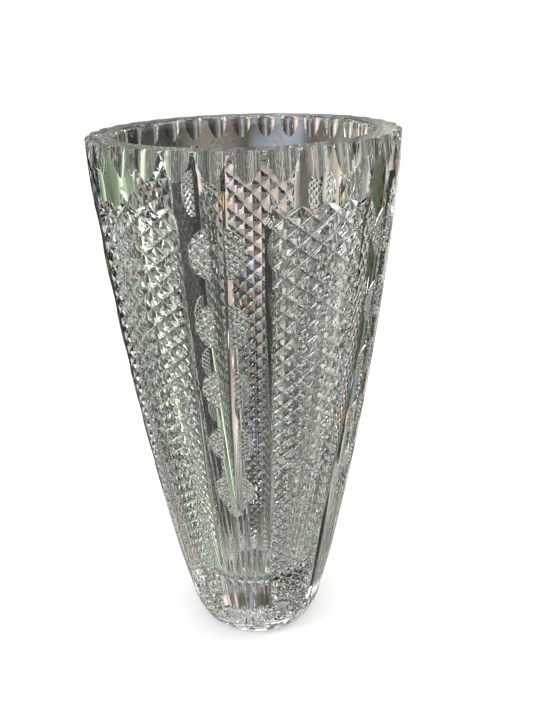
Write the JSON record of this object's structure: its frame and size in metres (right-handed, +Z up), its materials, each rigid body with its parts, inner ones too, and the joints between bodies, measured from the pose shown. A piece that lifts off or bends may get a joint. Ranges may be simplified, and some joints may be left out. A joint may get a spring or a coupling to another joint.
{
  "type": "cut crystal vase",
  "caption": "Tall tapering vase of thick clear cut glass, with diamond-cut panels between plain panels, a scalloped rim and a heavy star-cut foot.",
  "frame": {"origin": "centre of the foot's underside, on the surface that the vase stands on", "axes": "+Z up along the vase's axis, with the middle of one plain panel facing -Y"},
  "size_m": [0.1348, 0.1348, 0.25],
  "materials": {
    "crystal": "polished cut lead crystal, clear with a faint grey-green tint in the thick parts"
  },
  "bodies": {
    "root": {"vase_body": "crystal"}
  },
  "joints": []
}
